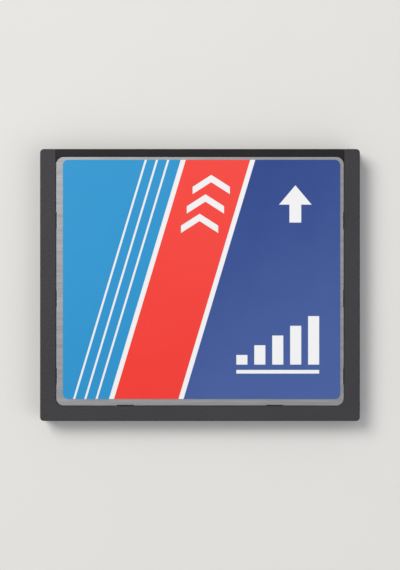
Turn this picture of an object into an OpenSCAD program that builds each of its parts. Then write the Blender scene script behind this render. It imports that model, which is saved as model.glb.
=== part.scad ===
// Memory card with a 50-way socket edge, two keyed guide grooves and a printed front label.
// X runs along the contact edge, Y points to the contact edge and Z up out of the label.
// The origin is at the centre of the underside. Sizes are in millimetres.

/* [Card] */
// Width across the contact edge
card_width = 42.8; // [42:0.1:48]
// Length from the rear edge to the contact edge
card_length = 36.4; // [36:0.1:48]
// Radius of the four corners, seen from above
corner_radius = 0.5; // [0.4:0.05:1]
// Rounding of the outer edges
edge_radius = 0.15; // [0.05:0.05:0.25]
// Clearance between pieces that fit into each other
fit_gap = 0.05; // [0.02:0.01:0.08]

/* [Frame] */
// Plastic that shows at each side of the panel
side_border = 2.1; // [1.9:0.05:2.6]
// Plastic that shows behind the panel
rear_border = 2; // [1.8:0.05:3]
// Width of the ledge that carries the panel and clamps the board
ledge_width = 0.7; // [0.5:0.05:1]
// Wall between a groove's floor and the board's pocket
rail_wall = 0.95; // [0.8:0.05:1.1]
// Wall behind the board's pocket
rear_wall = 1.9; // [1.6:0.05:2.2]
// Width of the welding tongue on the lower half
tongue_width = 0.3; // [0.2:0.05:0.4]
// Height of the welding tongue
tongue_height = 0.25; // [0.15:0.05:0.35]
// Length of the fingernail groove in the rear underside
nail_groove_length = 26; // [10:1:34]
// Width of the fingernail groove
nail_groove_width = 0.8; // [0.5:0.1:1]
// Depth of the fingernail groove
nail_groove_depth = 0.3; // [0.2:0.05:0.5]

/* [Guide grooves] */
// Depth of both grooves
groove_depth = 1.01; // [0.8:0.01:1.1]
// Length of both grooves from the contact edge
groove_length = 25.78; // [20:0.01:30]
// Height of the wide groove, on the left with the contact edge ahead
wide_groove_height = 1.6; // [1.2:0.01:1.8]
// Height of the narrow groove, on the right
narrow_groove_height = 0.99; // [0.8:0.01:1.1]
// Length of the lead-in that opens each groove towards the contact edge
groove_lead_length = 1.2; // [0.6:0.1:2]
// Widening of each groove wall at the contact edge
groove_lead_flare = 0.25; // [0.1:0.05:0.4]

/* [Panels] */
// Thickness of the stamped steel
panel_thickness = 0.15; // [0.1:0.01:0.25]
// Depth of a panel's outer face below the face of its frame
panel_recess = 0.15; // [0.12:0.01:0.3]
// Corner radius of a panel
panel_corner = 1; // [0.6:0.1:1.6]
// Width of each tab that is bent into the frame
tab_width = 2.4; // [1.5:0.1:3]
// Length of each tab below the plate
tab_length = 0.7; // [0.4:0.05:0.75]
// Thickness of the insulating film inside each panel
insulator_thickness = 0.05; // [0.03:0.01:0.1]

/* [Label] */
// Steel that shows left of the label
label_border_left = 0.9; // [0.2:0.05:3]
// Steel that shows right of the label
label_border_right = 0.5; // [0.2:0.05:3]
// Steel that shows ahead of the label
label_border_front = 0.4; // [0.2:0.05:3]
// Steel that shows behind the label
label_border_rear = 0.9; // [0.2:0.05:3]
// Corner radius of the label
label_corner = 0.7; // [0.3:0.1:1.5]
// Thickness of the label's film
label_thickness = 0.08; // [0.05:0.01:0.09]
// Thickness of the printed layer
print_thickness = 0.03; // [0.02:0.01:0.03]
// Width of the slanting red band, measured across the card
band_width = 8.6; // [4:0.2:12]
// Width of the white lines beside the red band
band_line = 0.7; // [0.3:0.1:1.2]
// Sideways run of the band for each unit of length
band_slant = 0.3; // [0:0.05:0.5]
// Place of the band's middle, left of the label's centre
band_offset = 2.6; // [-4:0.2:8]

/* [Board] */
// Thickness of the circuit board
board_thickness = 0.4; // [0.3:0.05:0.5]
// Radius of the half-round locating notches in the board's sides
notch_radius = 0.6; // [0.4:0.05:0.7]
// Gap between the board's front edge and the socket housing
board_front_gap = 0.1; // [0.05:0.05:0.3]
// Height of the thin chip packages
chip_height = 1; // [0.8:0.05:1.4]
// Air between a package and the board
chip_standoff = 0.05; // [0.03:0.01:0.1]
// Air between a package and the insulating film
chip_headroom = 0.05; // [0.03:0.01:0.3]
// Side of the square controller package
controller_size = 14; // [10:0.5:14.5]
// Width of a flash chip's package
flash_width = 12; // [10:0.5:12.5]
// Length of a flash chip's package
flash_length = 18.4; // [14:0.2:18.6]
// Distance between neighbouring chip leads
lead_pitch = 0.5; // [0.4:0.05:0.5]

/* [Socket] */
// Contacts in each of the two rows
contacts_per_row = 25; // [10:1:26]
// Distance between neighbouring contacts in a row
contact_pitch = 1.27; // [1.1:0.01:1.4]
// Distance between the two rows
row_pitch = 1.27; // [1.2:0.01:1.4]
// Depth of the housing behind the contact edge
housing_depth = 5.6; // [4.8:0.1:6.6]
// Thickness of the flange that closes the contact edge
flange_depth = 1; // [0.8:0.05:1.4]
// Width of the square lead-in at the mouth of each hole
mouth_width = 0.9; // [0.7:0.02:0.96]
// Depth of the lead-in
mouth_depth = 0.4; // [0.2:0.05:0.45]
// Width of each square hole behind its lead-in
hole_width = 0.6; // [0.5:0.02:0.66]
// Wall between the contact edge and the cavities that hold the contacts
front_wall = 0.6; // [0.5:0.05:0.75]
// Thickness of the fork-shaped contacts
contact_thickness = 0.4; // [0.3:0.02:0.5]
// Height of a contact's base, across its two arms
fork_height = 0.8; // [0.7:0.02:0.9]
// Thickness of a contact's two spring arms
arm_thickness = 0.16; // [0.12:0.01:0.2]
// Opening between the two arms where they grip a pin
grip_gap = 0.34; // [0.26:0.02:0.4]
// Length of each contact's tail on the board
tail_length = 1.6; // [1:0.1:2]

/* [Hidden] */
$fn = 48;

// Stack: the card is as thick as its board, packages, films and panels need (3.3 as drawn)
board_half = board_thickness / 2;
film_face = board_half + chip_standoff + chip_height + chip_headroom;
panel_seat = film_face + insulator_thickness;
half_height = panel_seat + panel_thickness + panel_recess;
middle = half_height;
print_base = middle + half_height - panel_recess + label_thickness;

// How far a cut runs past an open face
overcut = 1;

// Edges of the card, and of the panels and pockets inside it
side = card_width / 2;
front = card_length / 2;
rear = -card_length / 2;
groove_floor = side - groove_depth;
pocket_side = groove_floor - rail_wall;
pocket_rear = rear + rear_wall;
bay_side = side - side_border;
bay_rear = front - housing_depth;
seat_width = 2 * bay_side;
seat_front = front - flange_depth;
seat_rear = rear + rear_border;
seat_length = seat_front - seat_rear;
seat_middle = (seat_front + seat_rear) / 2;
opening_side = bay_side - ledge_width;
opening_rear = seat_rear + ledge_width;

// Label, inside the borders of its panel
panel_rim = bay_side - fit_gap;
label_left = -panel_rim + label_border_left;
label_right = panel_rim - label_border_right;
label_rear = seat_rear + fit_gap + label_border_rear;
label_front = seat_front - fit_gap - label_border_front;
label_width = label_right - label_left;
label_length = label_front - label_rear;
label_place = [(label_left + label_right) / 2, (label_front + label_rear) / 2];
band_left = -band_offset - band_width / 2;
band_right = -band_offset + band_width / 2;

// Tabs of a panel, along its two sides and its rear edge
tab_inset = 4;
side_tab_rear = seat_rear + tab_inset;
side_tab_front = bay_rear - tab_inset;
side_tab_rows = [side_tab_rear, (side_tab_rear + side_tab_front) / 2, side_tab_front];
rear_tab_inset = 9.3;
rear_tab_column = bay_side - rear_tab_inset;

// Welding tongue: it stops short of the housing's ears and is rooted in the lower half
tongue_corner = 1;
tongue_stop = 1;
tongue_root = 0.1;

// Socket housing
ear_wall = 0.5;
ear_side = groove_floor - ear_wall;
ear_height = 1;
ear_setback = 2;
ear_length = 2;
ear_front = front - ear_setback;
ear_rear = ear_front - ear_length;
row_offset = row_pitch / 2;
fork_half = fork_height / 2;
tail_level = board_half - row_offset;
contact_columns = [for (i = [0 : contacts_per_row - 1]) (i - (contacts_per_row - 1) / 2) * contact_pitch];

// Contact outline, measured along the card
tip_clearance = 0.2;
grip_length = 0.6;
base_inset = 0.4;
base_length = 1.4;
tip_flare = 0.07;
contact_tip = front - front_wall - tip_clearance;
contact_grip = contact_tip - grip_length;
contact_base = bay_rear + base_inset;
contact_root = contact_base + base_length;
tail_end = bay_rear - tail_length;

// Circuit board
board_side = pocket_side - fit_gap;
board_rear = pocket_rear + fit_gap;
board_front = bay_rear - board_front_gap;
board_middle = (board_front + board_rear) / 2;
board_corner = 0.5;
notch_from_rear = 9;
notch_row = board_rear + notch_from_rear;

// Leads of the packages
lead_width = 0.2;
lead_thickness = 0.12;
controller_lead_reach = 1;
controller_lead_margin = 1;
flash_lead_reach = 0.8;
flash_lead_margin = 0.25;
package_draft = 0.08;
dimple_radius = 0.5;
dimple_depth = 0.1;
dimple_inset = 1.3;

// Small parts on the board
array_size = [3.2, 1.6, 0.5];
array_count = 4;
crystal_size = [3.2, 2.5, 0.8];
lid_inset = 0.25;
lid_corner = 0.3;
lid_height = 0.24;
bulk_size = [2, 1.25, 0.85];
capacitor_size = [1, 0.5, 0.5];
resistor_size = [1, 0.5, 0.35];
termination_share = 0.25;
termination_step = 0.02;
regulator_width = 1.6;
regulator_length = 2.9;
regulator_drop = 0.1;
regulator_height = chip_height - regulator_drop;
regulator_lead_reach = 0.6;
regulator_lead_width = 0.4;
regulator_lead_pitch = 0.95;

// Upper face: arrays behind the contacts' tails, then the controller and its capacitors, right of a
// flash chip. Lower face: the other flash chip on the right, the small parts on the left.
board_margin = 0.8;
rear_margin = 0.3;
part_gap = 0.6;
small_pitch = 2.2;
controller_half = controller_size / 2 + controller_lead_reach;
controller_column = opening_side - board_margin - controller_half;
array_pitch = array_size[0] + part_gap;
array_row = tail_end - part_gap - array_size[1] / 2;
controller_row = array_row - array_size[1] / 2 - part_gap - controller_half;
upper_capacitor_row = controller_row - controller_half - part_gap;
upper_capacitor_count = 6;
flash_row = opening_rear + rear_margin + flash_length / 2 + flash_lead_reach;
flash_column = opening_side - board_margin - flash_width / 2;

// Small parts of the lower face, measured from the rear left corner of the opening
corner_place = [-opening_side, opening_rear];
crystal_inset = [3, 2.4];
crystal_place = corner_place + crystal_inset;
regulator_inset = [8.4, 2.6];
regulator_place = corner_place + regulator_inset;
bulk_inset = [2.4, 6.2];
bulk_first = corner_place + bulk_inset;
bulk_count = 3;
bulk_pitch = 3.2;
lower_capacitor_inset = [1.8, 14.6];
lower_capacitor_first = corner_place + lower_capacitor_inset;
resistor_inset = [1.8, 11];
resistor_first = corner_place + resistor_inset;
small_count = 6;

// White marks left open in the print: chevrons in the red band, lines in the sky field, and an arrow
// and rising bars in the navy field, measured from the label's front or rear right corner
chevron_count = 3;
chevron_pitch = 2.6;
chevron_width = 5;
chevron_rise = 1.6;
chevron_line = 1;
chevron_lead = 8.2;
sky_line = 0.3;
sky_line_pitch = 1.5;
sky_line_count = 3;
arrow_inset = [6, 6];
arrow_width = 4.4;
arrow_head = 2.6;
arrow_stem = [1.6, 2.4];
bar_count = 5;
bar_width = 1.5;
bar_pitch = 2.4;
bar_step = 1.3;
bar_inset = [2.8, 4.6];
rule_width = 0.5;
rule_drop = 1.2;

// Plain forms

module rounded_rect(width, length, radius) {
    square([width - 2 * radius, length], center = true);
    square([width, length - 2 * radius], center = true);
    for (x = [-1, 1], y = [-1, 1])
        translate([x * (width / 2 - radius), y * (length / 2 - radius)])
            circle(radius);
}

module quarter_disc(radius) {
    intersection() {
        circle(radius);
        square(radius);
    }
}

// Rounded edge with laps that reach into the slabs beside it and below it
module rounded_edge(radius) {
    lap = radius / 2;
    quarter_disc(radius);
    translate([-lap, -lap])
        square([lap, radius + lap]);
    translate([-lap, -lap])
        square([radius + lap, lap]);
}

// Slab with round corners, and with its upper outer edge rounded too
module soft_slab(width, length, height, corner, edge) {
    linear_extrude(height - edge)
        rounded_rect(width, length, corner);
    linear_extrude(height)
        rounded_rect(width - 2 * edge, length - 2 * edge, corner - edge);
    translate([0, 0, height - edge]) {
        for (turn = [0, 180])
            rotate([0, 0, turn]) {
                translate([width / 2 - edge, length / 2 - corner, 0])
                    rotate([90, 0, 0])
                        linear_extrude(length - 2 * corner)
                            rounded_edge(edge);
                translate([corner - width / 2, length / 2 - edge, 0])
                    rotate([90, 0, 90])
                        linear_extrude(width - 2 * corner)
                            rounded_edge(edge);
            }
        for (x = [-1, 1], y = [-1, 1])
            translate([x * (width / 2 - corner), y * (length / 2 - corner), 0])
                mirror([x < 0 ? 1 : 0, 0, 0])
                    mirror([0, y < 0 ? 1 : 0, 0])
                        rotate_extrude(angle = 90)
                            translate([corner - edge, 0])
                                rounded_edge(edge);
    }
}

// A box given by its two corners
module span(low, high) {
    translate(low)
        cube(high - low);
}

// Turns a piece that is drawn upwards from the parting plane the right way up, or upside down
module above_middle() {
    translate([0, 0, middle])
        children();
}

module below_middle() {
    translate([0, 0, middle])
        mirror([0, 0, 1])
            children();
}

// Frame halves, drawn upwards from the parting plane

// Recess for a panel, with its outline taken from the panel's seat
module panel_recess_cut(base) {
    translate([0, seat_middle, base])
        linear_extrude(half_height)
            rounded_rect(seat_width, seat_length, panel_corner + fit_gap);
}

module tab_slot() {
    translate([-panel_thickness - 2 * fit_gap, -tab_width / 2 - fit_gap, panel_seat - tab_length - fit_gap])
        cube([panel_thickness + 2 * fit_gap, tab_width + 2 * fit_gap, half_height]);
}

// Places its children at each tab, with the panel's edge at x = 0 and the plate to the left
module at_tabs() {
    for (y = side_tab_rows) {
        translate([bay_side, y, 0])
            children();
        translate([-bay_side, y, 0])
            mirror([1, 0, 0])
                children();
    }
    for (x = [-rear_tab_column, rear_tab_column])
        translate([x, seat_rear, 0])
            rotate([0, 0, -90])
                children();
}

// Guide groove in one half, seen along the card's width, with a lead-in at the contact edge
module groove_cut(direction, height) {
    depth = groove_depth + overcut;
    wall = height / 2;
    mouth = wall + groove_lead_flare;
    translate([direction > 0 ? groove_floor : -groove_floor - depth, 0, 0])
        rotate([90, 0, 90])
            linear_extrude(depth)
                polygon([
                    [front - groove_length, -overcut],
                    [front + overcut, -overcut],
                    [front + overcut, mouth],
                    [front, mouth],
                    [front - groove_lead_length, wall],
                    [front - groove_length, wall]
                ]);
}

module ear_cuts() {
    span([-ear_side - fit_gap, ear_rear - fit_gap, -overcut],
        [ear_side + fit_gap, ear_front + fit_gap, ear_height / 2 + fit_gap]);
}

// Half-round bosses that fill the notches in the board's sides
module locating_bosses() {
    for (x = [-1, 1])
        translate([x * pocket_side, notch_row, 0])
            cylinder(h = board_half, r = notch_radius - fit_gap);
}

// Ring along the rails and round the rear, open towards the socket
module tongue_ring(width) {
    line_side = (pocket_side + groove_floor) / 2;
    line_rear = (pocket_rear + rear) / 2;
    ring_front = ear_rear - tongue_stop;
    ring_length = 2 * (ring_front - line_rear);
    intersection() {
        translate([0, line_rear + ring_length / 2])
            difference() {
                rounded_rect(2 * line_side + width, ring_length + width, tongue_corner);
                rounded_rect(2 * line_side - width, ring_length - width, tongue_corner - width);
            }
        translate([-side, rear])
            square([card_width, ring_front - rear]);
    }
}

module half_frame() {
    difference() {
        soft_slab(card_width, card_length, half_height, corner_radius, edge_radius);
        difference() {
            span([-pocket_side, pocket_rear, -1], [pocket_side, front + 1, board_half]);
            locating_bosses();
        }
        span([-opening_side, opening_rear, -1], [opening_side, front + 1, half_height + 1]);
        span([-bay_side, bay_rear, -1], [bay_side, front + 1, half_height + 1]);
        panel_recess_cut(panel_seat);
        at_tabs()
            tab_slot();
        groove_cut(-1, wide_groove_height);
        groove_cut(1, narrow_groove_height);
        ear_cuts();
    }
}

module upper_frame() {
    color("#45434a")
        above_middle()
            difference() {
                half_frame();
                translate([0, 0, -1])
                    linear_extrude(1 + tongue_height + fit_gap)
                        tongue_ring(tongue_width + 2 * fit_gap);
            }
}

module nail_groove() {
    reach = (nail_groove_length - nail_groove_width) / 2;
    translate([0, rear + rear_border / 2, half_height - nail_groove_depth])
        linear_extrude(1) {
            square([2 * reach, nail_groove_width], center = true);
            for (x = [-1, 1])
                translate([x * reach, 0])
                    circle(nail_groove_width / 2);
        }
}

module lower_frame() {
    color("#45434a") {
        below_middle()
            difference() {
                half_frame();
                nail_groove();
            }
        above_middle()
            translate([0, 0, -tongue_root])
                linear_extrude(tongue_root + tongue_height)
                    tongue_ring(tongue_width);
    }
}

// Steel panels and the films behind them

// One tab, with its bend round outside and a lap that reaches into the plate
module bent_tab() {
    translate([-fit_gap - panel_thickness, 0, panel_seat])
        rotate([90, 0, 0])
            linear_extrude(tab_width, center = true) {
                quarter_disc(panel_thickness);
                translate([-panel_thickness, 0])
                    square(panel_thickness);
                translate([0, -tab_length])
                    square([panel_thickness, tab_length]);
            }
}

module panel() {
    difference() {
        translate([0, seat_middle, panel_seat])
            linear_extrude(panel_thickness)
                rounded_rect(seat_width - 2 * fit_gap, seat_length - 2 * fit_gap, panel_corner);
        at_tabs()
            translate([-fit_gap - panel_thickness, -tab_width / 2, 0])
                cube([1, tab_width, half_height]);
    }
    at_tabs()
        bent_tab();
}

module upper_panel() {
    color("#95979b")
        above_middle()
            panel();
}

module lower_panel() {
    color("#95979b")
        below_middle()
            panel();
}

module insulator() {
    span([-opening_side + fit_gap, opening_rear + fit_gap, film_face],
        [opening_side - fit_gap, bay_rear - fit_gap, panel_seat]);
}

module upper_insulator() {
    color("#d9b25a")
        above_middle()
            insulator();
}

module lower_insulator() {
    color("#d9b25a")
        below_middle()
            insulator();
}

// Front label: a white film, with fields of colour printed on it

module label_outline() {
    rounded_rect(label_width, label_length, label_corner);
}

module on_label(height) {
    translate([label_place[0], label_place[1], height])
        children();
}

module label_film() {
    color("#f2f3f5")
        on_label(print_base - label_thickness)
            linear_extrude(label_thickness)
                label_outline();
}

// Slanting strip of the label between two places measured along its middle line
module slanting_strip(left, right) {
    run = band_slant * label_length / 2;
    intersection() {
        label_outline();
        polygon([
            [left - run, -label_length / 2],
            [right - run, -label_length / 2],
            [right + run, label_length / 2],
            [left + run, label_length / 2]
        ]);
    }
}

module arrow_mark() {
    translate([label_width / 2, label_length / 2] - arrow_inset) {
        polygon([[-arrow_width / 2, 0], [arrow_width / 2, 0], [0, arrow_head]]);
        translate([-arrow_stem[0] / 2, -arrow_stem[1]])
            square(arrow_stem);
    }
}

module bar_marks() {
    run = (bar_count - 1) * bar_pitch + bar_width;
    translate([label_width / 2 - bar_inset[0] - run, bar_inset[1] - label_length / 2]) {
        for (i = [0 : bar_count - 1])
            translate([i * bar_pitch, 0])
                square([bar_width, bar_step * (i + 1)]);
        translate([0, -rule_drop])
            square([run, rule_width]);
    }
}

// Chevrons that point to the contact edge and step along the band
module chevron_marks() {
    for (i = [0 : chevron_count - 1]) {
        ahead = label_length / 2 - chevron_lead + i * chevron_pitch;
        translate([band_slant * ahead - band_offset, ahead])
            polygon([
                [-chevron_width / 2, -chevron_rise],
                [0, 0],
                [chevron_width / 2, -chevron_rise],
                [chevron_width / 2, chevron_line - chevron_rise],
                [0, chevron_line],
                [-chevron_width / 2, chevron_line - chevron_rise]
            ]);
    }
}

module sky_print() {
    color("#3099d2")
        on_label(print_base)
            linear_extrude(print_thickness)
                difference() {
                    slanting_strip(-label_width, band_left - band_line);
                    for (i = [1 : sky_line_count])
                        slanting_strip(band_left - band_line - i * sky_line_pitch - sky_line,
                            band_left - band_line - i * sky_line_pitch);
                }
}

module red_print() {
    color("#f5463c")
        on_label(print_base)
            linear_extrude(print_thickness)
                difference() {
                    slanting_strip(band_left, band_right);
                    chevron_marks();
                }
}

module navy_print() {
    color("#2b488c")
        on_label(print_base)
            linear_extrude(print_thickness)
                difference() {
                    slanting_strip(band_right + band_line, label_width);
                    arrow_mark();
                    bar_marks();
                }
}

// Socket: housing and two rows of contacts

// Sides of a row of lead-ins and holes, seen along the row's pins
module mouth_profile(rear_end) {
    polygon([
        [-hole_width / 2, rear_end],
        [-hole_width / 2, front - mouth_depth],
        [-mouth_width / 2, front],
        [-mouth_width / 2, front + 1],
        [mouth_width / 2, front + 1],
        [mouth_width / 2, front],
        [hole_width / 2, front - mouth_depth],
        [hole_width / 2, rear_end]
    ]);
}

// Square holes with tapered mouths: upright slots in step with the columns, crossed with the rows
module pin_holes() {
    rear_end = front - front_wall - 0.1;
    intersection() {
        for (x = contact_columns)
            translate([x, 0, -half_height])
                linear_extrude(2 * half_height)
                    mouth_profile(rear_end);
        for (z = [-row_offset, row_offset])
            translate([-side, 0, z])
                rotate([90, 0, 90])
                    linear_extrude(card_width)
                        mirror([1, -1, 0])
                            mouth_profile(rear_end);
    }
}

module contact_cavities() {
    half_width = contact_thickness / 2 + fit_gap;
    low = row_offset - fork_half - fit_gap;
    high = row_offset + fork_half + fit_gap;
    tail_low = min(low, board_half - fit_gap);
    for (x = contact_columns, turn = [0, 1])
        mirror([0, 0, turn]) {
            span([x - half_width, contact_base - fit_gap, low], [x + half_width, front - front_wall, high]);
            span([x - half_width, bay_rear - 1, tail_low], [x + half_width, contact_base, high]);
        }
}

module socket_housing() {
    color("#1e1c1f")
        translate([0, 0, middle])
            difference() {
                union() {
                    span([-panel_rim, bay_rear, -panel_seat], [panel_rim, seat_front, panel_seat]);
                    flange_bar(panel_rim);
                    span([-ear_side, ear_rear, -ear_height / 2],
                        [ear_side, ear_front, ear_height / 2]);
                }
                panel_recess_cut(panel_seat);
                mirror([0, 0, 1])
                    panel_recess_cut(panel_seat);
                pin_holes();
                contact_cavities();
            }
}

// Full-height bar along the contact edge, with rounded front edges
module flange_bar(reach) {
    bar_rear = seat_front - panel_corner - fit_gap;
    translate([-reach, 0, 0])
        rotate([90, 0, 90])
            linear_extrude(2 * reach) {
                translate([bar_rear, -half_height])
                    square([front - edge_radius - bar_rear, 2 * half_height]);
                translate([front - edge_radius, edge_radius - half_height])
                    square([edge_radius, 2 * (half_height - edge_radius)]);
                for (z = [-1, 1])
                    translate([front - edge_radius, z * (half_height - edge_radius)])
                        circle(edge_radius);
            }
}

// Outline of one contact, seen from the side: the arms point forwards and the tail lies on the board
module contact_profile() {
    grip = grip_gap / 2;
    tip = grip + tip_flare;
    polygon([
        [tail_end, tail_level],
        [bay_rear, tail_level],
        [contact_base, -fork_half],
        [contact_root, -fork_half],
        [contact_grip, -grip - arm_thickness],
        [contact_tip, -tip - arm_thickness],
        [contact_tip, -tip],
        [contact_grip, -grip],
        [contact_root, arm_thickness - fork_half],
        [contact_root, fork_half - arm_thickness],
        [contact_grip, grip],
        [contact_tip, tip],
        [contact_tip, tip + arm_thickness],
        [contact_grip, grip + arm_thickness],
        [contact_root, fork_half],
        [contact_base, fork_half],
        [contact_base, arm_thickness - fork_half],
        [bay_rear, tail_level + arm_thickness],
        [tail_end, tail_level + arm_thickness]
    ]);
}

module contact_row() {
    for (x = contact_columns)
        translate([x - contact_thickness / 2, 0, row_offset])
            rotate([90, 0, 90])
                linear_extrude(contact_thickness)
                    contact_profile();
}

module upper_row_contacts() {
    color("#d8b560")
        above_middle()
            contact_row();
}

module lower_row_contacts() {
    color("#d8b560")
        below_middle()
            contact_row();
}

// Circuit board and what is soldered to it

module circuit_board() {
    color("#1f6b3c")
        translate([0, board_middle, middle - board_half])
            linear_extrude(board_thickness)
                difference() {
                    rounded_rect(2 * board_side, board_front - board_rear, board_corner);
                    for (x = [-1, 1])
                        translate([x * pocket_side, notch_row - board_middle])
                            circle(notch_radius);
                }
}

module upper_face(place) {
    translate([place[0], place[1], middle + board_half])
        children();
}

module lower_face(place) {
    translate([place[0], place[1], middle - board_half])
        mirror([0, 0, 1])
            children();
}

// One side view of a moulded package, which narrows from its middle to its top and bottom
module package_profile(width, height) {
    polygon([
        [-width / 2 + package_draft, 0],
        [width / 2 - package_draft, 0],
        [width / 2, height / 2],
        [width / 2 - package_draft, height],
        [-width / 2 + package_draft, height],
        [-width / 2, height / 2]
    ]);
}

// Moulded package: two crossed profiles
module package(width, length, height) {
    translate([0, 0, chip_standoff])
        intersection() {
            rotate([90, 0, 0])
                linear_extrude(length, center = true)
                    package_profile(width, height);
            rotate([90, 0, 90])
                linear_extrude(width, center = true)
                    package_profile(length, height);
        }
}

// Package with a round dimple that marks its first lead
module marked_package(width, length) {
    difference() {
        package(width, length, chip_height);
        translate([dimple_inset - width / 2, dimple_inset - length / 2,
            chip_standoff + chip_height - dimple_depth])
            cylinder(h = 1, r = dimple_radius);
    }
}

// Number of leads that fit along a side with a margin at each end
function lead_count(side_length, margin) = floor((side_length - 2 * margin) / lead_pitch + 0.01) + 1;

// Row of bent leads that leave a package's side at x = 0 and stand on the board
module lead_row(count, pitch, width, reach, exit_height) {
    bend = reach * 0.45;
    for (i = [0 : count - 1])
        translate([0, (i - (count - 1) / 2) * pitch + width / 2, 0])
            rotate([90, 0, 0])
                linear_extrude(width)
                    polygon([
                        [0, exit_height],
                        [bend, 0],
                        [reach, 0],
                        [reach, lead_thickness],
                        [bend + lead_thickness, lead_thickness],
                        [0, exit_height + 1.5 * lead_thickness]
                    ]);
}

function exit_height(height) = chip_standoff + height * 0.4;

module controller_chip() {
    color("#26262a")
        upper_face([controller_column, controller_row])
            marked_package(controller_size, controller_size);
}

module controller_leads() {
    count = lead_count(controller_size, controller_lead_margin);
    color("#c4c6c8")
        upper_face([controller_column, controller_row])
            for (turn = [0 : 90 : 270])
                rotate([0, 0, turn])
                    translate([controller_size / 2, 0, 0])
                        lead_row(count, lead_pitch, lead_width, controller_lead_reach,
                            exit_height(chip_height));
}

module flash_leads() {
    count = lead_count(flash_width, flash_lead_margin);
    for (turn = [90, 270])
        rotate([0, 0, turn])
            translate([flash_length / 2, 0, 0])
                lead_row(count, lead_pitch, lead_width, flash_lead_reach, exit_height(chip_height));
}

module upper_flash_chip() {
    color("#26262a")
        upper_face([-flash_column, flash_row])
            marked_package(flash_width, flash_length);
}

module upper_flash_leads() {
    color("#c4c6c8")
        upper_face([-flash_column, flash_row])
            flash_leads();
}

module lower_flash_chip() {
    color("#26262a")
        lower_face([flash_column, flash_row])
            marked_package(flash_width, flash_length);
}

module lower_flash_leads() {
    color("#c4c6c8")
        lower_face([flash_column, flash_row])
            flash_leads();
}

module voltage_regulator() {
    color("#26262a")
        lower_face(regulator_place)
            package(regulator_width, regulator_length, regulator_height);
}

// Three leads on one side and two on the other
module regulator_leads() {
    color("#c4c6c8")
        lower_face(regulator_place) {
            translate([regulator_width / 2, 0, 0])
                lead_row(3, regulator_lead_pitch, regulator_lead_width, regulator_lead_reach,
                    exit_height(regulator_height));
            rotate([0, 0, 180])
                translate([regulator_width / 2, 0, 0])
                    lead_row(2, 2 * regulator_lead_pitch, regulator_lead_width, regulator_lead_reach,
                        exit_height(regulator_height));
        }
}

// Ceramic crystal with a metal lid, which is a little smaller than its base
module clock_crystal() {
    base_height = crystal_size[2] - lid_height;
    color("#c9c3ae")
        lower_face(crystal_place) {
            translate([-crystal_size[0] / 2, -crystal_size[1] / 2, 0])
                cube([crystal_size[0], crystal_size[1], base_height]);
            linear_extrude(crystal_size[2])
                rounded_rect(crystal_size[0] - 2 * lid_inset, crystal_size[1] - 2 * lid_inset, lid_corner);
        }
}

// Small ceramic part with a plated termination at each end
module ceramic_part(size) {
    end_length = size[0] * termination_share;
    translate([-size[0] / 2, -size[1] / 2, 0] + [1, 1, 1] * termination_step)
        cube(size - [2, 2, 2] * termination_step);
    for (x = [-size[0] / 2, size[0] / 2 - end_length])
        translate([x, -size[1] / 2, 0])
            cube([end_length, size[1], size[2]]);
}

module bulk_capacitors() {
    color("#b08d6a")
        for (i = [0 : bulk_count - 1])
            lower_face(bulk_first + [i * bulk_pitch, 0])
                ceramic_part(bulk_size);
}

module decoupling_capacitors() {
    color("#b08d6a") {
        for (i = [0 : upper_capacitor_count - 1])
            upper_face([controller_column + (i - (upper_capacitor_count - 1) / 2) * small_pitch,
                upper_capacitor_row])
                ceramic_part(capacitor_size);
        for (i = [0 : small_count - 1])
            lower_face(lower_capacitor_first + [i * small_pitch, 0])
                ceramic_part(capacitor_size);
    }
}

module resistors() {
    color("#2c2c30")
        for (i = [0 : small_count - 1])
            lower_face(resistor_first + [i * small_pitch, 0])
                ceramic_part(resistor_size);
}

// Four resistors in one body: its terminations run along the two long sides
module resistor_arrays() {
    color("#2c2c30")
        for (i = [0 : array_count - 1])
            upper_face([controller_column + (i - (array_count - 1) / 2) * array_pitch, array_row])
                rotate([0, 0, 90])
                    ceramic_part([array_size[1], array_size[0], array_size[2]]);
}

upper_frame();
lower_frame();
upper_panel();
lower_panel();
upper_insulator();
lower_insulator();
label_film();
navy_print();
sky_print();
red_print();
socket_housing();
upper_row_contacts();
lower_row_contacts();
circuit_board();
controller_chip();
controller_leads();
upper_flash_chip();
upper_flash_leads();
lower_flash_chip();
lower_flash_leads();
voltage_regulator();
regulator_leads();
clock_crystal();
bulk_capacitors();
decoupling_capacitors();
resistors();
resistor_arrays();
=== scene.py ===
"""Dresses a memory card: softened mouldings and pressings, steel, printed label, socket and board."""

import logging
import math
from collections.abc import Callable
from dataclasses import dataclass, field
from enum import Enum
from functools import lru_cache
from typing import Protocol

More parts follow.
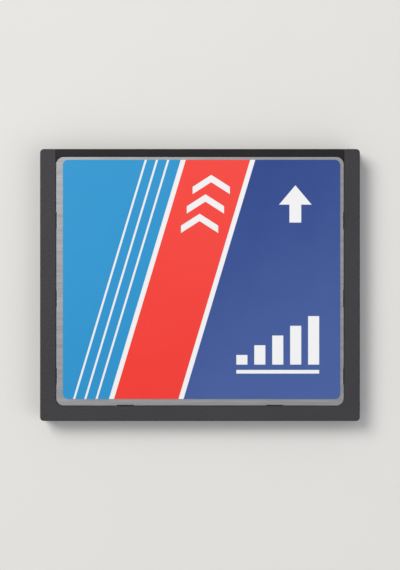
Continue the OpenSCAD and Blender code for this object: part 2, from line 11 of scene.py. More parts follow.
import bmesh
import bpy
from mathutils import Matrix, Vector


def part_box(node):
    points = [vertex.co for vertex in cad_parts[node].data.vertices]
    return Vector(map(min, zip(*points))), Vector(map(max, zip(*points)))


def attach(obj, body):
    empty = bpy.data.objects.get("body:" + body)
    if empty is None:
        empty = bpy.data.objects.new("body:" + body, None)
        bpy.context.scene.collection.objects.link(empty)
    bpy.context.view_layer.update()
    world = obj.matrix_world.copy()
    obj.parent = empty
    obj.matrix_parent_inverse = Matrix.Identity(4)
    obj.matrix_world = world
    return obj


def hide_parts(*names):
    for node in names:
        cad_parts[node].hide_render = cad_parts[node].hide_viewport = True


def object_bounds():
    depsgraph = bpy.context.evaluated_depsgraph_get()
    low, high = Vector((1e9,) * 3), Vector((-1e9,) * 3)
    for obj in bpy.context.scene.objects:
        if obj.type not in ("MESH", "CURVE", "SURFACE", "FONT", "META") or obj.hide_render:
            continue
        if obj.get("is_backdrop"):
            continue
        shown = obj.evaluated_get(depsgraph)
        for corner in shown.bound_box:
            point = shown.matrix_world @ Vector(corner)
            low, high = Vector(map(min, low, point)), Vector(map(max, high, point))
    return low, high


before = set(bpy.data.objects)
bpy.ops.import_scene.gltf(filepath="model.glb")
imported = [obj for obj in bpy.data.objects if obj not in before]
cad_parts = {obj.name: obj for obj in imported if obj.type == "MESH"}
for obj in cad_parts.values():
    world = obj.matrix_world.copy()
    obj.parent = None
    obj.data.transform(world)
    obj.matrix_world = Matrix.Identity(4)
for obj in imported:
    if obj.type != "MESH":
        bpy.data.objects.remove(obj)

log = logging.getLogger("card")

MM = 0.001
BODY = "root"

X, Y, Z = range(3)
# Every face of a box, as its axis and its side: -1 for the lowest and 1 for the highest
ALL_FACES = tuple((axis, sign) for axis in (X, Y, Z) for sign in (-1, 1))

# Distance from one node to the next in the node editor
NODE_STEP = 220.0
# Corners that lie nearer to each other than this are one corner
MERGE_DISTANCE = 0.0005 * MM
# Edges shorter than this are left over by a bevel, and are taken out
STRAY_LENGTH = 0.0001 * MM
# Faces that meet at a smaller angle than this are parts of one flat face
FLAT_ANGLE = math.radians(0.5)
# Edges with a larger angle than this are sharp, so they can be rounded
SHARP_ANGLE = math.radians(50)
# Edges with a smaller angle than this are shaded smooth
SMOOTH_ANGLE = math.radians(35)
# Faces across a rounded edge
ROUNDING_SEGMENTS = 2

Colour = tuple[float, float, float]
Point = tuple[float, float, float]
Factors = tuple[float, float, float]
Sockets = dict[str, bpy.types.NodeSocket]
Faces = tuple[tuple[int, int], ...]
EdgeRule = Callable[[Vector, Vector], bool]


class Gloss(Enum):
    """Roughness of a surface, by the word a moulder or printer uses for it."""

    GLOSSY = 0.2
    SEMI_GLOSS = 0.32
    SATIN = 0.42
    MATT = 0.58
    FLAT = 0.75


class Side(Enum):
    """The side of the card that a piece faces, as the sign of its height above the middle."""

    UPPER = 1
    LOWER = -1


# Node trees


@dataclass
class Graph:
    """The nodes of one material or node group, laid out from left to right.

    Attributes:
        tree: The node tree that the nodes go into.
        column: Where the next node is placed.
    """

    tree: bpy.types.NodeTree
    column: float = 0.0

    def add(self, kind: str, **settings: object) -> bpy.types.Node:
        """Adds one node.

        Args:
            kind: The node's type name.
            **settings: Values for the node's own properties.

        Returns:
            The new node.
        """
        node = self.tree.nodes.new(kind)
        node.location = (self.column, 0.0)
        self.column += NODE_STEP
        for name, value in settings.items():
            setattr(node, name, value)
        return node

    def feed(self, target: bpy.types.NodeSocket, source: object) -> None:
        """Joins a socket to an input, or sets the input to a plain value.

        Args:
            target: The input socket.
            source: An output socket, a number or a tuple of numbers.
        """
        if isinstance(source, bpy.types.NodeSocket):
            self.tree.links.new(source, target)
        else:
            target.default_value = source

    def arithmetic(self, operation: str, first: object, second: object = 0.0) -> bpy.types.NodeSocket:
        """Adds a Math node.

        Args:
            operation: The Math node's operation.
            first: Its first input.
            second: Its second input.

        Returns:
            The result's socket.
        """
        node = self.add("ShaderNodeMath", operation=operation)
        self.feed(node.inputs[0], first)
        self.feed(node.inputs[1], second)
        return node.outputs[0]

    def mean(self, first: bpy.types.NodeSocket, second: bpy.types.NodeSocket) -> bpy.types.NodeSocket:
        """Averages two values, and returns the result's socket."""
        return self.arithmetic("MULTIPLY", self.arithmetic("ADD", first, second), 0.5)

    def spread(self, value: bpy.types.NodeSocket, low: float, high: float) -> bpy.types.NodeSocket:
        """Maps a value from the range 0 to 1 onto another range.

        Args:
            value: The socket to map.
            low: The result for 0.
            high: The result for 1.

        Returns:
            The result's socket.
        """
        node = self.add("ShaderNodeMapRange")
        self.feed(node.inputs["Value"], value)
        self.feed(node.inputs["To Min"], low)
        self.feed(node.inputs["To Max"], high)
        return node.outputs["Result"]

    def blend(self, factor: bpy.types.NodeSocket, first: Colour, second: Colour) -> bpy.types.NodeSocket:
        """Mixes two colours.

        Args:
            factor: 0 gives the first colour and 1 the second.
            first: The first colour.
            second: The second colour.

        Returns:
            The mixed colour's socket.
        """
        node = self.add("ShaderNodeMix", data_type="RGBA")
        # A Mix node has a set of sockets for each kind of data. These are the numbers of the colour ones.
        share, colour_a, colour_b, mixed = node.inputs[0], node.inputs[6], node.inputs[7], node.outputs[2]
        self.feed(share, factor)
        self.feed(colour_a, (*first, 1.0))
        self.feed(colour_b, (*second, 1.0))
        return mixed

    def place(self, stretch: Factors = (1.0, 1.0, 1.0)) -> bpy.types.NodeSocket:
        """Reads the place on the card, in metres.

        Args:
            stretch: A factor for each axis.

        Returns:
            The place's socket.
        """
        coordinates = self.add("ShaderNodeTexCoord")
        mapping = self.add("ShaderNodeMapping")
        mapping.inputs["Scale"].default_value = stretch
        self.feed(mapping.inputs["Vector"], coordinates.outputs["Object"])
        return mapping.outputs["Vector"]

    def noise(self, place: bpy.types.NodeSocket, scale: object, detail: float = 2.0) -> bpy.types.NodeSocket:
        """Adds a noise pattern.

        Args:
            place: The coordinates to read it at.
            scale: Features to the metre.
            detail: Octaves of finer noise.

        Returns:
            The noise value's socket.
        """
        node = self.add("ShaderNodeTexNoise")
        self.feed(node.inputs["Vector"], place)
        self.feed(node.inputs["Scale"], scale)
        node.inputs["Detail"].default_value = detail
        return node.outputs["Fac"]


def shade_group(
    name: str, inputs: tuple[str, ...], outputs: tuple[str, ...]
) -> tuple[Graph, Sockets, Sockets]:
    """Starts a shader node group with plain number sockets.

    Args:
        name: The group's name.
        inputs: Names of its input numbers.
        outputs: Names of its output numbers.

    Returns:
        The group's graph, its input sockets and its output sockets, both by name.
    """
    tree = bpy.data.node_groups.new(name, "ShaderNodeTree")
    for socket in inputs:
        tree.interface.new_socket(name=socket, in_out="INPUT", socket_type="NodeSocketFloat")
    for socket in outputs:
        tree.interface.new_socket(name=socket, in_out="OUTPUT", socket_type="NodeSocketFloat")
    graph = Graph(tree)
    given = graph.add("NodeGroupInput")
    result = graph.add("NodeGroupOutput")
    return graph, {s: given.outputs[s] for s in inputs}, {s: result.inputs[s] for s in outputs}


@lru_cache
def moulded_grain() -> bpy.types.NodeTree:
    """Builds the grain of a spark-eroded mould: fine pits, and slow drifts in tone.

    Returns:
        A group that takes Fineness, and gives Height and Drift.
    """
    # Number of pits and of drifts for each grain, and the pits' depth beside the grain's
    pits_per_grain = 0.7
    drifts_per_grain = 0.03
    pit_depth = 0.6
    graph, given, result = shade_group("Moulded grain", ("Fineness",), ("Height", "Drift"))
    place = graph.place()
    fine = graph.noise(place, given["Fineness"], detail=3.0)
    pits = graph.add("ShaderNodeTexVoronoi")
    graph.feed(pits.inputs["Vector"], place)
    graph.feed(pits.inputs["Scale"], graph.arithmetic("MULTIPLY", given["Fineness"], pits_per_grain))
    shallow = graph.arithmetic("MULTIPLY", pits.outputs["Distance"], pit_depth)
    graph.feed(result["Height"], graph.arithmetic("ADD", fine, shallow))
    slow = graph.arithmetic("MULTIPLY", given["Fineness"], drifts_per_grain)
    graph.feed(result["Drift"], graph.noise(place, slow, detail=4.0))
    return graph.tree


@lru_cache
def rolled_lines() -> bpy.types.NodeTree:
    """Builds the fine lines that rolling and brushing leave on sheet steel, along the contact edge.

    Returns:
        A group that takes Fineness, and gives Height and Streak.
    """
    # Number of broad lines for each fine one, and how far both are drawn out along the contact edge
    broad_per_fine = 0.25
    broad_stretch = (0.012, 1.0, 1.0)
    fine_stretch = (0.05, 1.0, 1.0)
    graph, given, result = shade_group("Rolled lines", ("Fineness",), ("Height", "Streak"))
    broad_place = graph.place(broad_stretch)
    fine_place = graph.place(fine_stretch)
    fine = graph.noise(fine_place, given["Fineness"], detail=4.0)
    coarse = graph.arithmetic("MULTIPLY", given["Fineness"], broad_per_fine)
    broad = graph.noise(broad_place, coarse, detail=3.0)
    graph.feed(result["Height"], graph.arithmetic("ADD", fine, broad))
    graph.feed(result["Streak"], graph.mean(fine, broad))
    return graph.tree


@lru_cache
def print_surface() -> bpy.types.NodeTree:
    """Builds the surface of printed film: a slight orange peel, and ink that is a little uneven.

    Returns:
        A group that takes Fineness, and gives Height and Density.
    """
    # Number of dimples and of clouds for each speckle
    dimples_per_speckle = 0.3
    clouds_per_speckle = 0.04
    graph, given, result = shade_group("Print surface", ("Fineness",), ("Height", "Density"))
    place = graph.place()
    coarse = graph.arithmetic("MULTIPLY", given["Fineness"], dimples_per_speckle)
    graph.feed(result["Height"], graph.noise(place, coarse, detail=1.0))
    speckle = graph.noise(place, given["Fineness"], detail=2.0)
    slow = graph.arithmetic("MULTIPLY", given["Fineness"], clouds_per_speckle)
    cloud = graph.noise(place, slow, detail=2.0)
    graph.feed(result["Density"], graph.mean(speckle, cloud))
    return graph.tree


@dataclass
class Surface:
    """A material under construction: its graph and its one Principled shader.

    Attributes:
        material: The material.
        graph: The material's nodes.
        shader: The Principled shader.
    """

    material: bpy.types.Material
    graph: Graph
    shader: bpy.types.Node

    @classmethod
    def start(cls, name: str, roughness: float, metallic: float = 0.0) -> "Surface":
        """Makes an empty material with a Principled shader.

        Args:
            name: The material's name.
            roughness: The shader's roughness.
            metallic: The shader's metallic value.

        Returns:
            The new surface.
        """
        material = bpy.data.materials.new(name)
        material.use_nodes = True
        material.node_tree.nodes.clear()
        graph = Graph(material.node_tree)
        shader = graph.add("ShaderNodeBsdfPrincipled")
        output = graph.add("ShaderNodeOutputMaterial")
        graph.feed(output.inputs["Surface"], shader.outputs["BSDF"])
        shader.inputs["Roughness"].default_value = roughness
        shader.inputs["Metallic"].default_value = metallic
        return cls(material, graph, shader)

    def pattern(self, group: bpy.types.NodeTree, fineness: float) -> bpy.types.Node:
        """Places a shared pattern in the material.

        Args:
            group: The pattern's node group.
            fineness: Its features to the metre.

        Returns:
            The group's node.
        """
        node = self.graph.add("ShaderNodeGroup", node_tree=group)
        node.inputs["Fineness"].default_value = fineness
        return node

    def vary_roughness(self, value: bpy.types.NodeSocket, gloss: Gloss, swing: float) -> None:
        """Lets the roughness follow a pattern.

        Args:
            value: The pattern's socket, from 0 to 1.
            gloss: The gloss in the middle of the range.
            swing: How far the roughness goes to either side.
        """
        rough = self.graph.spread(value, gloss.value - swing, gloss.value + swing)
        self.graph.feed(self.shader.inputs["Roughness"], rough)

    def emboss(self, height: bpy.types.NodeSocket, depth: float) -> None:
        """Turns a height pattern into relief.

        Args:
            height: The pattern's socket.
            depth: How deep the relief is, in metres.
        """
        bump = self.graph.add("ShaderNodeBump")
        bump.inputs["Distance"].default_value = depth
        self.graph.feed(bump.inputs["Height"], height)
        self.graph.feed(self.shader.inputs["Normal"], bump.outputs["Normal"])


# Finishes


class Finish(Protocol):
    """Anything that can make the material of one of the record's slots."""

    @property
    def name(self) -> str:
        """The slot's name."""

    def build(self) -> bpy.types.Material:
        """Makes the material."""


@lru_cache
def material_of(finish: Finish) -> bpy.types.Material:
    """Makes a finish's material the first time it is asked for, and returns the same one afterwards."""
    return finish.build()


@dataclass(frozen=True)
class PlasticFinish:
    """Moulded plastic with a spark-eroded grain.

    Attributes:
        name: The material's name.
        dark: Colour at the dark end of the grain's slow drift in tone.
        light: Colour at the light end of that drift.
        gloss: How glossy it is.
        fineness: Grains to the metre.
        depth: Depth of the grain, in metres.
        shine: Strength of its reflections, 0.5 for common plastics.
        swing: How far its roughness goes to either side of its gloss.
    """

    name: str
    dark: Colour
    light: Colour
    gloss: Gloss
    fineness: float
    depth: float
    shine: float = 0.5
    swing: float = 0.07

    def build(self) -> bpy.types.Material:
        """Makes the material.

        Returns:
            The material.
        """
        surface = Surface.start(self.name, self.gloss.value)
        surface.shader.inputs["Specular IOR Level"].default_value = self.shine
        grain = surface.pattern(moulded_grain(), self.fineness)
        tone = surface.graph.blend(grain.outputs["Drift"], self.dark, self.light)
        surface.graph.feed(surface.shader.inputs["Base Color"], tone)
        surface.vary_roughness(grain.outputs["Drift"], self.gloss, self.swing)
        surface.emboss(grain.outputs["Height"], self.depth)
        return surface.material


@dataclass(frozen=True)
class SteelFinish:
    """Rolled and lightly brushed stainless sheet.

    Attributes:
        name: The material's name.
        dark: Colour in the streaks.
        light: Colour between them.
        gloss: How glossy it is.
        fineness: Lines to the metre.
        depth: Depth of the lines, in metres.
        swing: How far its roughness goes to either side of its gloss.
    """

    name: str
    dark: Colour
    light: Colour
    gloss: Gloss
    fineness: float
    depth: float
    swing: float = 0.1

    def build(self) -> bpy.types.Material:
        """Makes the material.

        Returns:
            The material.
        """
        surface = Surface.start(self.name, self.gloss.value, metallic=1.0)
        lines = surface.pattern(rolled_lines(), self.fineness)
        tone = surface.graph.blend(lines.outputs["Streak"], self.dark, self.light)
        surface.graph.feed(surface.shader.inputs["Base Color"], tone)
        surface.vary_roughness(lines.outputs["Streak"], self.gloss, self.swing)
        surface.emboss(lines.outputs["Height"], self.depth)
        return surface.material


@dataclass(frozen=True)
class InkFinish:
    """Printed ink under a clear varnish, with a tone that drifts along the card.

    Attributes:
        name: The material's name.
        near: Colour at the near end of the drift.
        far: Colour at its far end.
        heading: Direction of the drift, along X and Y.
        gloss: How glossy the varnish is.
        varnish: Weight of the varnish.
        varnish_roughness: Roughness of the varnish.
        reach: Half the length of the drift, in metres.
        patchiness: How far uneven ink moves the drift to either side, as a share of it.
        swing: How far its roughness goes to either side of its gloss.
        fineness: Speckles to the metre.
        depth: Depth of the orange peel, in metres.
    """

    name: str
    near: Colour
    far: Colour
    heading: tuple[float, float]
    gloss: Gloss = Gloss.SEMI_GLOSS
    varnish: float = 0.35
    varnish_roughness: float = 0.12
    reach: float = 22 * MM
    patchiness: float = 0.18
    swing: float = 0.06
    fineness: float = 5000.0
    depth: float = 0.004 * MM

    def build(self) -> bpy.types.Material:
        """Makes the material.

        Returns:
            The material.
        """
        surface = Surface.start(self.name, self.gloss.value)
        graph = surface.graph
        surface.shader.inputs["Coat Weight"].default_value = self.varnish
        surface.shader.inputs["Coat Roughness"].default_value = self.varnish_roughness
        along = graph.add("ShaderNodeVectorMath", operation="DOT_PRODUCT")
        graph.feed(along.inputs[0], graph.place())
        graph.feed(along.inputs[1], (*self.heading, 0.0))
        drift = graph.add("ShaderNodeMapRange", interpolation_type="SMOOTHSTEP")
        graph.feed(drift.inputs["Value"], along.outputs["Value"])
        drift.inputs["From Min"].default_value = -self.reach
        drift.inputs["From Max"].default_value = self.reach
        ink = surface.pattern(print_surface(), self.fineness)
        uneven = graph.spread(ink.outputs["Density"], -self.patchiness, self.patchiness)
        tone = graph.blend(graph.arithmetic("ADD", drift.outputs["Result"], uneven), self.near, self.far)
        graph.feed(surface.shader.inputs["Base Color"], tone)
        surface.vary_roughness(ink.outputs["Density"], self.gloss, self.swing)
        surface.emboss(ink.outputs["Height"], self.depth)
        return surface.material


@dataclass(frozen=True)
class PlatedFinish:
    """Plated or tinned metal, a little uneven.

    Attributes:
        name: The material's name.
        thin: Colour where the plating is thin.
        thick: Colour where it is thick.
        gloss: How glossy it is.
        fineness: Patches to the metre.
        depth: Depth of the patches, in metres.
    """

    name: str
    thin: Colour
    thick: Colour
    gloss: Gloss
    fineness: float = 3000.0
    depth: float = 0.003 * MM

    def build(self) -> bpy.types.Material:
        """Makes the material.

        Returns:
            The material.
        """
        surface = Surface.start(self.name, self.gloss.value, metallic=1.0)
        grain = surface.pattern(moulded_grain(), self.fineness)
        tone = surface.graph.blend(grain.outputs["Drift"], self.thin, self.thick)
        surface.graph.feed(surface.shader.inputs["Base Color"], tone)
        surface.emboss(grain.outputs["Height"], self.depth)
        return surface.material


@dataclass(frozen=True)
class BoardFinish:
    """Glass laminate under green resist, with copper tracks and vias that show through it.

    Attributes:
        name: The material's name.
        resist: Colour of the resist over bare laminate.
        track: Colour of the resist over copper.
        pitch: Distance between tracks, in metres.
        track_share: Share of the pitch that a track takes up.
        block: Size of the areas in which the tracks run one way, in metres.
        straight_share: Share of those areas in which they run along the contact edge.
        bare_share: Share of those areas that hold no tracks.
        via_spacing: Distance between vias, in metres.
        via_share: Radius of a via, as a share of that distance.
        relief: Height of the copper under the resist, in metres.
    """

    name: str
    resist: Colour
    track: Colour
    pitch: float = 0.34 * MM
    track_share: float = 0.4
    block: float = 4.2 * MM
    straight_share: float = 0.5
    bare_share: float = 0.3
    via_spacing: float = 1.7 * MM
    via_share: float = 0.12
    relief: float = 0.01 * MM

    def tracks(self, graph: Graph, place: bpy.types.NodeSocket) -> bpy.types.NodeSocket:
        """Makes bundles of tracks, some along the board and some across it.

        Args:
            graph: The material's nodes.
            place: The place on the board.

        Returns:
            1 on a track and 0 beside it.
        """
        parts = graph.add("ShaderNodeSeparateXYZ")
        graph.feed(parts.inputs[0], place)
        blocks = graph.add("ShaderNodeTexVoronoi", distance="CHEBYCHEV")
        graph.feed(blocks.inputs["Vector"], place)
        blocks.inputs["Scale"].default_value = 1.0 / self.block
        draw = graph.add("ShaderNodeSeparateColor")
        graph.feed(draw.inputs[0], blocks.outputs["Color"])
        turned = graph.arithmetic("GREATER_THAN", draw.outputs[0], self.straight_share)
        straight = graph.arithmetic("SUBTRACT", 1.0, turned)
        routed = graph.arithmetic("GREATER_THAN", draw.outputs[1], self.bare_share)
        across = graph.arithmetic(
            "ADD",
            graph.arithmetic("MULTIPLY", parts.outputs["X"], turned),
            graph.arithmetic("MULTIPLY", parts.outputs["Y"], straight),
        )
        phase = graph.arithmetic("FRACT", graph.arithmetic("DIVIDE", across, self.pitch))
        stripe = graph.arithmetic("LESS_THAN", phase, self.track_share)
        return graph.arithmetic("MULTIPLY", stripe, routed)

    def vias(self, graph: Graph, place: bpy.types.NodeSocket) -> bpy.types.NodeSocket:
        """Makes the round lands of the vias.

        Args:
            graph: The material's nodes.
            place: The place on the board.

        Returns:
            1 on a land and 0 beside it.
        """
        cells = graph.add("ShaderNodeTexVoronoi")
        graph.feed(cells.inputs["Vector"], place)
        cells.inputs["Scale"].default_value = 1.0 / self.via_spacing
        return graph.arithmetic("LESS_THAN", cells.outputs["Distance"], self.via_share)

    def build(self) -> bpy.types.Material:
        """Makes the material.

        Returns:
            The material.
        """
        surface = Surface.start(self.name, Gloss.SEMI_GLOSS.value)
        graph = surface.graph
        place = graph.place()
        copper = graph.arithmetic("MAXIMUM", self.tracks(graph, place), self.vias(graph, place))
        graph.feed(surface.shader.inputs["Base Color"], graph.blend(copper, self.resist, self.track))
        surface.emboss(copper, self.relief)
        return surface.material


# Finishes of this card, named after the record's slots

FINISHES: dict[str, Finish] = {
    finish.name: finish
    for finish in (
        PlasticFinish(
            "frame_plastic",
            dark=(0.018, 0.017, 0.02),
            light=(0.034, 0.032, 0.037),
            gloss=Gloss.MATT,
            fineness=5000.0,
            depth=0.035 * MM,
        ),
        PlasticFinish(
            "socket_plastic",
            dark=(0.008, 0.0065, 0.007),
            light=(0.017, 0.014, 0.015),
            gloss=Gloss.SATIN,
            fineness=7000.0,
            depth=0.006 * MM,
            shine=0.25,
        ),
        SteelFinish(
            "panel_steel",
            dark=(0.28, 0.285, 0.295),
            light=(0.55, 0.555, 0.57),
            gloss=Gloss.SATIN,
            fineness=5000.0,
            depth=0.006 * MM,
        ),
        PlasticFinish(
            "insulating_film",
            dark=(0.5, 0.25, 0.04),
            light=(0.62, 0.34, 0.07),
            gloss=Gloss.GLOSSY,
            fineness=2000.0,
            depth=0.003 * MM,
        ),
        InkFinish(
            "label_film",
            near=(0.89, 0.895, 0.91),
            far=(0.93, 0.93, 0.94),
            heading=(1.0, 0.0),
            gloss=Gloss.SATIN,
            varnish=0.2,
        ),
        InkFinish("navy_ink", near=(0.006, 0.038, 0.235), far=(0.05, 0.107, 0.35), heading=(0.5, -0.86)),
        InkFinish("sky_ink", near=(0.006, 0.27, 0.6), far=(0.014, 0.31, 0.65), heading=(-0.7, 0.7)),
        InkFinish("red_ink", near=(0.92, 0.03, 0.018), far=(0.96, 0.055, 0.04), heading=(0.3, 0.95)),
        PlatedFinish("contact_metal", thin=(0.75, 0.52, 0.2), thick=(0.9, 0.68, 0.3), gloss=Gloss.SEMI_GLOSS),
        BoardFinish("board_laminate", resist=(0.008, 0.085, 0.03), track=(0.02, 0.17, 0.055)),
        PlasticFinish(
            "package_resin",
            dark=(0.012, 0.012, 0.014),
            light=(0.028, 0.028, 0.031),
            gloss=Gloss.FLAT,
            fineness=14000.0,
            depth=0.008 * MM,
        ),
        PlatedFinish("tinned_leads", thin=(0.5, 0.5, 0.51), thick=(0.66, 0.66, 0.67), gloss=Gloss.SATIN),
        PlatedFinish("crystal_can", thin=(0.5, 0.46, 0.36), thick=(0.66, 0.62, 0.5), gloss=Gloss.SATIN),
        PlasticFinish(
            "capacitor_ceramic",
            dark=(0.3, 0.17, 0.08),
            light=(0.42, 0.26, 0.14),
            gloss=Gloss.SATIN,
            fineness=9000.0,
            depth=0.004 * MM,
        ),
        PlasticFinish(
            "resistor_ceramic",
            dark=(0.02, 0.02, 0.024),
            light=(0.04, 0.04, 0.045),
            gloss=Gloss.SEMI_GLOSS,
            fineness=9000.0,
            depth=0.003 * MM,
        ),
    )
}


# Modelling steps


def deselect_all() -> None:
    """Leaves nothing selected, so that the next step acts on its own piece alone."""
    bpy.ops.object.select_all(action="DESELECT")


def take_up(piece: bpy.types.Object) -> None:
    """Selects one object and makes it the active one.

    Args:
        piece: The object.
    """
    deselect_all()
    piece.select_set(True)
    bpy.context.view_layer.objects.active = piece


def copy_of(node: str, name: str) -> bpy.types.Object:
    """Copies a part of the frame and joins its loose triangles into whole faces.

    Args:
        node: The part's name.
        name: The copy's name.

    Returns:
        The copy.
    """
    take_up(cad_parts[node])
    bpy.ops.object.duplicate(linked=False)
    piece = bpy.context.view_layer.objects.active
    piece.name = name
    piece.data.name = name
    bpy.ops.mesh.customdata_custom_splitnormals_clear()
    bpy.ops.object.mode_set(mode="EDIT")
    bpy.ops.mesh.select_all(action="SELECT")
    bpy.ops.mesh.remove_doubles(threshold=MERGE_DISTANCE)
    bpy.ops.mesh.dissolve_limited(angle_limit=FLAT_ANGLE)
    bpy.ops.mesh.normals_make_consistent(inside=False)
    bpy.ops.mesh.select_all(action="DESELECT")
    bpy.ops.object.mode_set(mode="OBJECT")
    return piece


def edges_on(node: str, faces: Faces, slack: float) -> EdgeRule:
    """Makes a rule that picks the edges on chosen faces of a part's box.

    Args:
        node: The part's name.
        faces: The faces, each as its axis and its side.
        slack: How near a corner has to lie to a face to count as on it, in metres.

    Returns:
        A rule that is true for an edge with both ends on those faces.
    """
    low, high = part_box(node)
    corners = {-1: low, 1: high}

    def on_face(corner: Vector) -> bool:
        """Tells whether a corner lies on one of the faces."""
        return any(abs(corner[axis] - corners[sign][axis]) < slack for axis, sign in faces)

    return lambda start, end: on_face(start) and on_face(end)


def soften(piece: bpy.types.Object, chosen: EdgeRule, width: float) -> int:
    """Rounds the sharp edges of a piece that a rule picks out.

    Args:
        piece: The piece.
        chosen: Tells from an edge's two ends whether it is rounded.
        width: Width of the rounding, in metres.

    Returns:
        The number of edges that were rounded.
    """
    take_up(piece)
    bpy.ops.object.mode_set(mode="EDIT")
    bpy.ops.mesh.select_mode(type="EDGE")
    mesh = bmesh.from_edit_mesh(piece.data)
    picked = 0
    for edge in mesh.edges:
        start, end = (vertex.co for vertex in edge.verts)
        wanted = edge.is_manifold and edge.calc_face_angle(0.0) > SHARP_ANGLE and chosen(start, end)
        edge.select_set(wanted)
        picked += wanted
    bmesh.update_edit_mesh(piece.data)
    bpy.ops.mesh.bevel(offset=width, segments=ROUNDING_SEGMENTS, affect="EDGES", clamp_overlap=False)
    bpy.ops.mesh.select_all(action="SELECT")
    bpy.ops.mesh.dissolve_degenerate(threshold=STRAY_LENGTH)
    bpy.ops.mesh.select_all(action="DESELECT")
    bpy.ops.object.mode_set(mode="OBJECT")
    bpy.ops.object.shade_smooth_by_angle(angle=SMOOTH_ANGLE)
    bpy.ops.object.modifier_add(type="WEIGHTED_NORMAL")
    weighting = piece.modifiers[-1]
    weighting.keep_sharp = True
    bpy.ops.object.modifier_apply(modifier=weighting.name)
    return picked


def dress(piece: bpy.types.Object, slot: str) -> None:
    """Gives a piece the finish of one of the record's slots.

    Args:
        piece: The piece.
        slot: The slot's name.
    """
    piece.data.materials.clear()
    piece.data.materials.append(material_of(FINISHES[slot]))


def dress_node(node: str, slot: str) -> None:
    """Gives a part of the frame the finish of a slot, and leaves its mesh alone.

    Args:
        node: The part's name.
        slot: The slot's name.
    """
    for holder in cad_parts[node].material_slots:
        holder.link = "OBJECT"
        holder.material = material_of(FINISHES[slot])
    log.info("%s: finish %s", node, slot)


def stand_for(piece: bpy.types.Object, node: str) -> None:
    """Puts a finished piece in the place of the part it was made from.

    Args:
        piece: The piece.
        node: The part's name.
    """
    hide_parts(node)
    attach(piece, BODY)
    log.info("%s: %d faces, stands for %s", piece.name, len(piece.data.polygons), node)


# Sub-assemblies


@dataclass
class FrameHalves:
    """The two moulded halves of the plastic frame, with their outer edges slightly rounded.

    Attributes:
        rounding: Width of the rounding at sharp moulded edges, in metres.
        slack: How near a corner has to lie to an outer face to count as on it, in metres.
    """

    rounding: float = 0.05 * MM
    slack: float = 0.004 * MM

    def build(self) -> None:
        """Makes both halves."""
        for side in Side:
            node = f"{side.name.lower()}_frame"
            half = copy_of(node, f"{node}_moulding")
            count = soften(half, edges_on(node, ALL_FACES, self.slack), self.rounding)
            log.info("%s: %d edges rounded", half.name, count)
            dress(half, "frame_plastic")
            stand_for(half, node)


@dataclass
class Panels:
    """The two stamped steel panels, with the slight rollover that a press leaves on outer edges.

    Attributes:
        rollover: Width of the rollover, in metres.
        slack: How near a corner has to lie to the outer face to count as on it, in metres.
    """

    rollover: float = 0.04 * MM
    slack: float = 0.002 * MM

    def build(self) -> None:
        """Makes both panels."""
        for side in Side:
            node = f"{side.name.lower()}_panel"
            panel = copy_of(node, f"{node}_pressing")
            outer_face = ((Z, side.value),)
            count = soften(panel, edges_on(node, outer_face, self.slack), self.rollover)
            log.info("%s: %d edges rolled over", panel.name, count)
            dress(panel, "panel_steel")
            stand_for(panel, node)


@dataclass
class Label:
    """The printed label: a white film and its fields of ink.

    Attributes:
        inks: Slot of each printed field, by its part's name.
    """

    inks: dict[str, str] = field(
        default_factory=lambda: {
            "label_film": "label_film",
            "navy_print": "navy_ink",
            "sky_print": "sky_ink",
            "red_print": "red_ink",
        }
    )

    def build(self) -> None:
        """Dresses the film and the fields."""
        for node, slot in self.inks.items():
            dress_node(node, slot)


@dataclass
class Socket:
    """The socket housing, with its hole mouths slightly rounded, and its two rows of contacts.

    Attributes:
        rounding: Width of the rounding at the hole mouths and the flange's edges, in metres.
        faces: The faces whose edges are rounded: the contact edge and the card's two broad faces.
        slack: How near a corner has to lie to one of those faces to count as on it, in metres.
    """

    rounding: float = 0.03 * MM
    faces: Faces = ((Y, 1), (Z, -1), (Z, 1))
    slack: float = 0.004 * MM

    def build(self) -> None:
        """Makes the housing and dresses the contacts."""
        node = "socket_housing"
        housing = copy_of(node, "socket_moulding")
        count = soften(housing, edges_on(node, self.faces, self.slack), self.rounding)
        log.info("%s: %d edges rounded", housing.name, count)
        dress(housing, "socket_plastic")
        stand_for(housing, node)
        for row in Side:
            dress_node(f"{row.name.lower()}_row_contacts", "contact_metal")


@dataclass
class Board:
    """The circuit board with its parts, and the films that keep it off the panels.

    Attributes:
        slots: Slot of each part, by its name.
    """

    slots: dict[str, str] = field(
        default_factory=lambda: {
            "circuit_board": "board_laminate",
            "controller_chip": "package_resin",
            "controller_leads": "tinned_leads",
            "upper_flash_chip": "package_resin",
            "upper_flash_leads": "tinned_leads",
            "lower_flash_chip": "package_resin",
            "lower_flash_leads": "tinned_leads",
            "voltage_regulator": "package_resin",
            "regulator_leads": "tinned_leads",
            "clock_crystal": "crystal_can",
            "bulk_capacitors": "capacitor_ceramic",
            "decoupling_capacitors": "capacitor_ceramic",
            "resistors": "resistor_ceramic",
            "resistor_arrays": "resistor_ceramic",
            "upper_insulator": "insulating_film",
            "lower_insulator": "insulating_film",
        }
    )

    def build(self) -> None:
        """Dresses the board, its parts and the films."""
        for node, slot in self.slots.items():
            dress_node(node, slot)


@dataclass(frozen=True)
class Lamp:
    """A square soft light.

    Attributes:
        name: The light's name.
        place: Where it stands, in metres.
        size: Length of its side, in metres.
        power: Its power, in watts.
        tint: Its colour.
    """

    name: str
    place: Point
    size: float
    power: float
    tint: Colour = (1.0, 1.0, 1.0)

    def build(self) -> None:
        """Adds the light, turned to the card."""
        bpy.ops.object.light_add(type="AREA", location=self.place)
        light = bpy.context.object
        light.name = self.name
        light.data.size = self.size
        light.data.energy = self.power
        light.data.color = self.tint
        light.rotation_mode = "QUATERNION"
        light.rotation_quaternion = Vector(self.place).to_track_quat("Z", "Y")


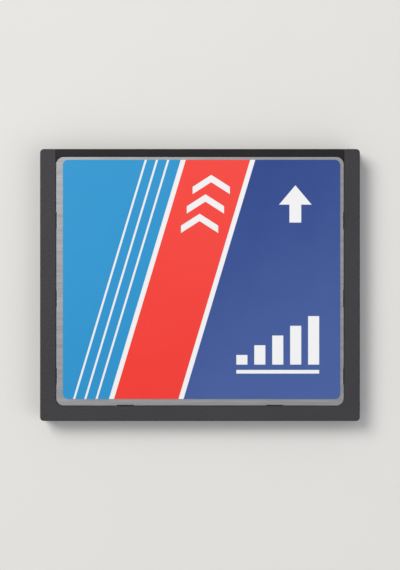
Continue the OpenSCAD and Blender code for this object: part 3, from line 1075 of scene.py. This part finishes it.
@dataclass
class Studio:
    """The pale floor, the soft light and the camera, which looks straight down on the label.

    Attributes:
        floor_size: Side of the floor, in metres.
        floor_colour: Colour of the floor.
        floor_shade: Darkest tone of the floor, as a share of its colour.
        floor_fineness: Grains of the floor to the metre.
        floor_relief: Depth of the floor's grain, in metres.
        cover: How far the floor reaches under the card's edge, in metres.
        clearance: Gap between the floor and the card, so that the two don't share a plane, in metres.
        sky: Brightness of the room round the card.
        sky_colour: Colour of the room's light.
        lamps: The lights.
        picture: Width and height of the picture, in pixels.
        lens: Focal length, in millimetres.
        sensor: Long side of the sensor, in millimetres.
        fill: Share of the picture's width that the card takes up.
        nearest: The least distance that the camera sees, as a share of its own distance.
        farthest: The greatest distance that it sees, as a multiple of its own distance.
    """

    floor_size: float = 6.0
    floor_colour: Colour = (0.8, 0.79, 0.77)
    floor_shade: float = 0.97
    floor_fineness: float = 2500.0
    floor_relief: float = 0.01 * MM
    cover: float = 0.4 * MM
    clearance: float = 0.01 * MM
    sky: float = 0.4
    sky_colour: Colour = (0.93, 0.94, 0.96)
    lamps: tuple[Lamp, ...] = (
        Lamp("window_light", (-0.3, 0.27, 0.5), 0.34, 2.8, (1.0, 0.985, 0.96)),
        Lamp("fill_light", (0.4, -0.2, 0.46), 0.5, 0.8, (0.94, 0.97, 1.0)),
        Lamp("under_light", (-0.3, -0.35, -0.4), 0.4, 2.2),
    )
    picture: tuple[int, int] = (400, 570)
    lens: float = 100.0
    sensor: float = 36.0
    fill: float = 0.8
    nearest: float = 0.1
    farthest: float = 100.0

    def lay_floor(self, low: Vector, high: Vector) -> None:
        """Adds the floor, open where the card hides it, so that the card's underside can be looked at.

        Args:
            low: Lowest corner of the card.
            high: Highest corner of the card.
        """
        deselect_all()
        place = (low + high) / 2
        place.z = low.z - self.clearance
        bpy.ops.mesh.primitive_plane_add(size=self.floor_size, location=place)
        floor = bpy.context.object
        floor.name = "floor"
        inner = self.floor_size / 2
        opening = [high[axis] - low[axis] - 2 * self.cover for axis in range(2)]
        bpy.ops.object.mode_set(mode="EDIT")
        bpy.ops.mesh.inset(thickness=(self.floor_size - inner) / 2, depth=0.0)
        bpy.ops.transform.resize(value=(opening[0] / inner, opening[1] / inner, 1.0))
        bpy.ops.mesh.delete(type="FACE")
        bpy.ops.object.mode_set(mode="OBJECT")
        log.info("floor: open over %.1f by %.1f mm", opening[0] / MM, opening[1] / MM)
        surface = Surface.start("floor_paper", Gloss.FLAT.value)
        grain = surface.pattern(moulded_grain(), self.floor_fineness)
        shade = tuple(value * self.floor_shade for value in self.floor_colour)
        tone = surface.graph.blend(grain.outputs["Drift"], shade, self.floor_colour)
        surface.graph.feed(surface.shader.inputs["Base Color"], tone)
        surface.emboss(grain.outputs["Height"], self.floor_relief)
        floor.data.materials.append(surface.material)
        floor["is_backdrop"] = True

    def light_room(self) -> None:
        """Adds the room's even light and the lamps."""
        world = bpy.data.worlds.new("studio")
        world.use_nodes = True
        background = world.node_tree.nodes["Background"]
        background.inputs["Color"].default_value = (*self.sky_colour, 1.0)
        background.inputs["Strength"].default_value = self.sky
        bpy.context.scene.world = world
        for lamp in self.lamps:
            lamp.build()

    def set_camera(self, low: Vector, high: Vector) -> None:
        """Adds the camera above the card.

        Args:
            low: Lowest corner of the card.
            high: Highest corner of the card.
        """
        across = self.sensor * self.picture[0] / self.picture[1]
        distance = (high.x - low.x) / self.fill / across * self.lens
        centre = (low + high) / 2
        above = (centre.x, centre.y, high.z + distance)
        bpy.ops.object.camera_add(location=above, rotation=(0.0, 0.0, 0.0))
        camera = bpy.context.object
        camera.name = "camera"
        camera.data.lens = self.lens
        camera.data.sensor_width = self.sensor
        camera.data.clip_start = distance * self.nearest
        camera.data.clip_end = distance * self.farthest
        bpy.context.scene.camera = camera

    def build(self, low: Vector, high: Vector) -> None:
        """Sets up the whole studio round the card.

        Args:
            low: Lowest corner of the card.
            high: Highest corner of the card.
        """
        self.lay_floor(low, high)
        self.light_room()
        self.set_camera(low, high)
        bpy.context.scene.view_settings.view_transform = "Standard"


def main() -> None:
    """Builds each sub-assembly in order, then the studio."""
    logging.basicConfig(level=logging.INFO, format="%(name)s: %(message)s")
    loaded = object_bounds()
    for assembly in (Board(), Socket(), Panels(), FrameHalves(), Label()):
        log.info("building %s", type(assembly).__name__)
        assembly.build()
    Studio().build(*loaded)


if __name__ == "__main__":
    main()
